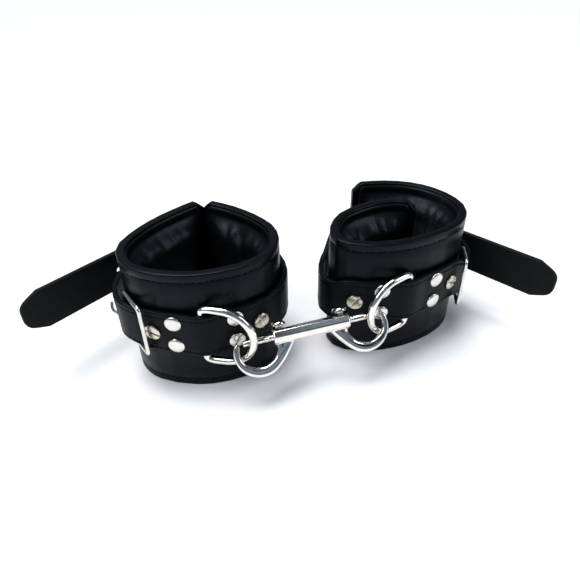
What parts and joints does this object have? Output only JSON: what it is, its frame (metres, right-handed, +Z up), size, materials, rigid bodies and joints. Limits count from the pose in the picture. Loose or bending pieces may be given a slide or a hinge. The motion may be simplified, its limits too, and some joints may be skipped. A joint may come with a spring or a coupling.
{
  "type": "padded leather wrist cuffs",
  "caption": "Pair of black padded leather wrist cuffs with buckles, joined through D-rings by a double-ended snap hook.",
  "frame": {"origin": "the middle of the whole object's footprint, on the surface it stands on", "axes": "+Z up; +X along the snap hook from the cuff whose ends meet to the cuff whose ends overlap; +Y away from the snap hook, towards the wearer"},
  "size_m": [0.2766, 0.107, 0.07],
  "materials": {
    "shell_leather": "smooth, slightly glossy black",
    "lining_leather": "soft garment leather, matt to satin black",
    "belt_leather": "firm strap leather, satin black",
    "padding_foam": "open-cell, not seen",
    "nickel": "nickel plate, polished",
    "chrome": "chrome plate, mirror",
    "spring_steel": "drawn wire"
  },
  "bodies": {
    "left_cuff": {"left_cuff_shell": "shell_leather", "left_cuff_lining": "lining_leather", "left_cuff_padding": "padding_foam", "left_belt": "belt_leather", "left_rivet_1": "nickel", "left_rivet_2": "nickel", "left_rivet_3": "nickel", "left_rivet_4": "nickel", "left_screw_1": "nickel", "left_screw_2": "nickel", "left_screw_post_1": "nickel", "left_screw_post_2": "nickel"},
    "left_tail": {"left_belt_tail": "belt_leather"},
    "left_buckle": {"left_buckle_frame": "nickel"},
    "left_prong": {"left_buckle_prong": "nickel"},
    "left_d_ring": {"left_ring": "chrome"},
    "snap_hook": {"snap_body": "chrome", "left_plunger_spring": "spring_steel", "right_plunger_spring": "spring_steel"},
    "left_plunger": {"left_plunger": "chrome", "left_thumb_tab": "chrome"},
    "right_plunger": {"right_plunger": "chrome", "right_thumb_tab": "chrome"},
    "right_d_ring": {"right_ring": "chrome"},
    "right_cuff": {"right_cuff_shell": "shell_leather", "right_cuff_lining": "lining_leather", "right_cuff_padding": "padding_foam", "right_belt": "belt_leather", "right_rivet_1": "nickel", "right_rivet_2": "nickel", "right_rivet_3": "nickel", "right_rivet_4": "nickel", "right_screw_1": "nickel", "right_screw_2": "nickel", "right_screw_post_1": "nickel", "right_screw_post_2": "nickel"},
    "right_tail": {"right_belt_tail": "belt_leather"},
    "right_buckle": {"right_buckle_frame": "nickel"},
    "right_prong": {"right_buckle_prong": "nickel"}
  },
  "joints": [
    {"name": "left_ring_swing", "type": "hinge", "parent": "left_cuff", "child": "left_d_ring", "pos_m": [-0.05292, -0.03436, 0.0369], "axis": [0, 0, 1], "range_deg": [-20, 5]},
    {"name": "left_link_swivel", "type": "hinge", "parent": "left_d_ring", "child": "snap_hook", "pos_m": [-0.0335, -0.045, 0.0283], "axis": [0, 0, 1], "range_deg": [-7, 6]},
    {"name": "right_link_swivel", "type": "hinge", "parent": "snap_hook", "child": "right_d_ring", "pos_m": [0.0321, -0.0454, 0.0288], "axis": [0, 0, -1], "range_deg": [-18, 4]},
    {"name": "right_ring_swing", "type": "hinge", "parent": "right_d_ring", "child": "right_cuff", "pos_m": [0.05377, -0.03869, 0.0365], "axis": [0, 0, -1], "range_deg": [0, 20]},
    {"name": "left_plunger_slide", "type": "slide", "parent": "snap_hook", "child": "left_plunger", "axis": [0.9998, 0, 0.0192], "range_m": [0, 0.006], "stiffness_N_per_m": 250, "springref_m": -0.004, "deforming": ["left_plunger_spring"]},
    {"name": "right_plunger_slide", "type": "slide", "parent": "snap_hook", "child": "right_plunger", "axis": [-0.9998, 0, -0.0192], "range_m": [0, 0.006], "stiffness_N_per_m": 250, "springref_m": -0.004, "deforming": ["right_plunger_spring"]},
    {"name": "left_tail_swing", "type": "hinge", "parent": "left_cuff", "child": "left_tail", "pos_m": [-0.00386, -0.00231, 0.0388], "axis": [0, 0, 1], "range_deg": [-70, 0]},
    {"name": "left_buckle_swing", "type": "hinge", "parent": "left_cuff", "child": "left_buckle", "pos_m": [-0.08623, -0.01003, 0.0388], "axis": [0, 0, 1], "range_deg": [-120, 0]},
    {"name": "left_prong_swing", "type": "hinge", "parent": "left_cuff", "child": "left_prong", "pos_m": [-0.08623, -0.01003, 0.0388], "axis": [0, 0, 1], "range_deg": [0, 90]},
    {"name": "right_tail_swing", "type": "hinge", "parent": "right_cuff", "child": "right_tail", "pos_m": [0.0229, 0.00302, 0.0344], "axis": [0, 0, 1], "range_deg": [0, 80]},
    {"name": "right_buckle_swing", "type": "hinge", "parent": "right_cuff", "child": "right_buckle", "pos_m": [0.0964, -0.01984, 0.0344], "axis": [0, 0, 1], "range_deg": [0, 120]},
    {"name": "right_prong_swing", "type": "hinge", "parent": "right_cuff", "child": "right_prong", "pos_m": [0.0964, -0.01984, 0.0344], "axis": [0, 0, 1], "range_deg": [-90, 0]}
  ]
}
